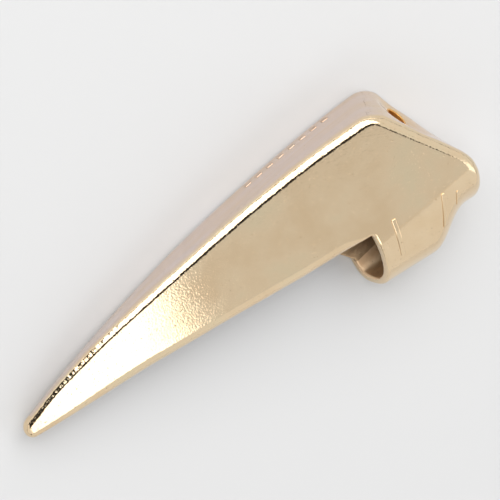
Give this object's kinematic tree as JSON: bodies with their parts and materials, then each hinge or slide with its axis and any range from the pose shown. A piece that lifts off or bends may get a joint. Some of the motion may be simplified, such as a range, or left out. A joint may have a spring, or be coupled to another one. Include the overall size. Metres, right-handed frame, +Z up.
{
  "type": "hollow tooth trinket",
  "caption": "Hollow gold-plated tooth-shaped cast trinket with a curved ridge, an open rolled heel under the butt and a dished ring hole.",
  "frame": {"origin": "middle of the overall length and height on the plane that the far cheek rests on", "axes": "+X from the point to the butt, +Y towards the ridge, +Z up through the near cheek"},
  "size_m": [0.1062, 0.0366, 0.0181],
  "materials": {
    "gold_cheek": "polished gold plating over a cast surface",
    "gold_ridge": "polished gold plating over a cast surface",
    "gold_butt": "polished gold plating over a cast surface",
    "gold_heel": "polished gold plating over a cast surface",
    "gold_boss": "polished gold plating over a cast surface",
    "gold_point": "polished gold plating over a cast surface"
  },
  "bodies": {
    "root": {"near_cheek": "gold_cheek", "far_cheek": "gold_cheek", "ridge_wall": "gold_ridge", "butt_wall": "gold_butt", "butt_foot": "gold_butt", "heel_trough": "gold_heel", "ring_boss": "gold_boss", "point_bead": "gold_point", "heel_rib_front": "gold_heel", "heel_rib_middle": "gold_heel", "heel_rib_rear": "gold_heel", "ridge_dashes": "gold_ridge"}
  },
  "joints": []
}
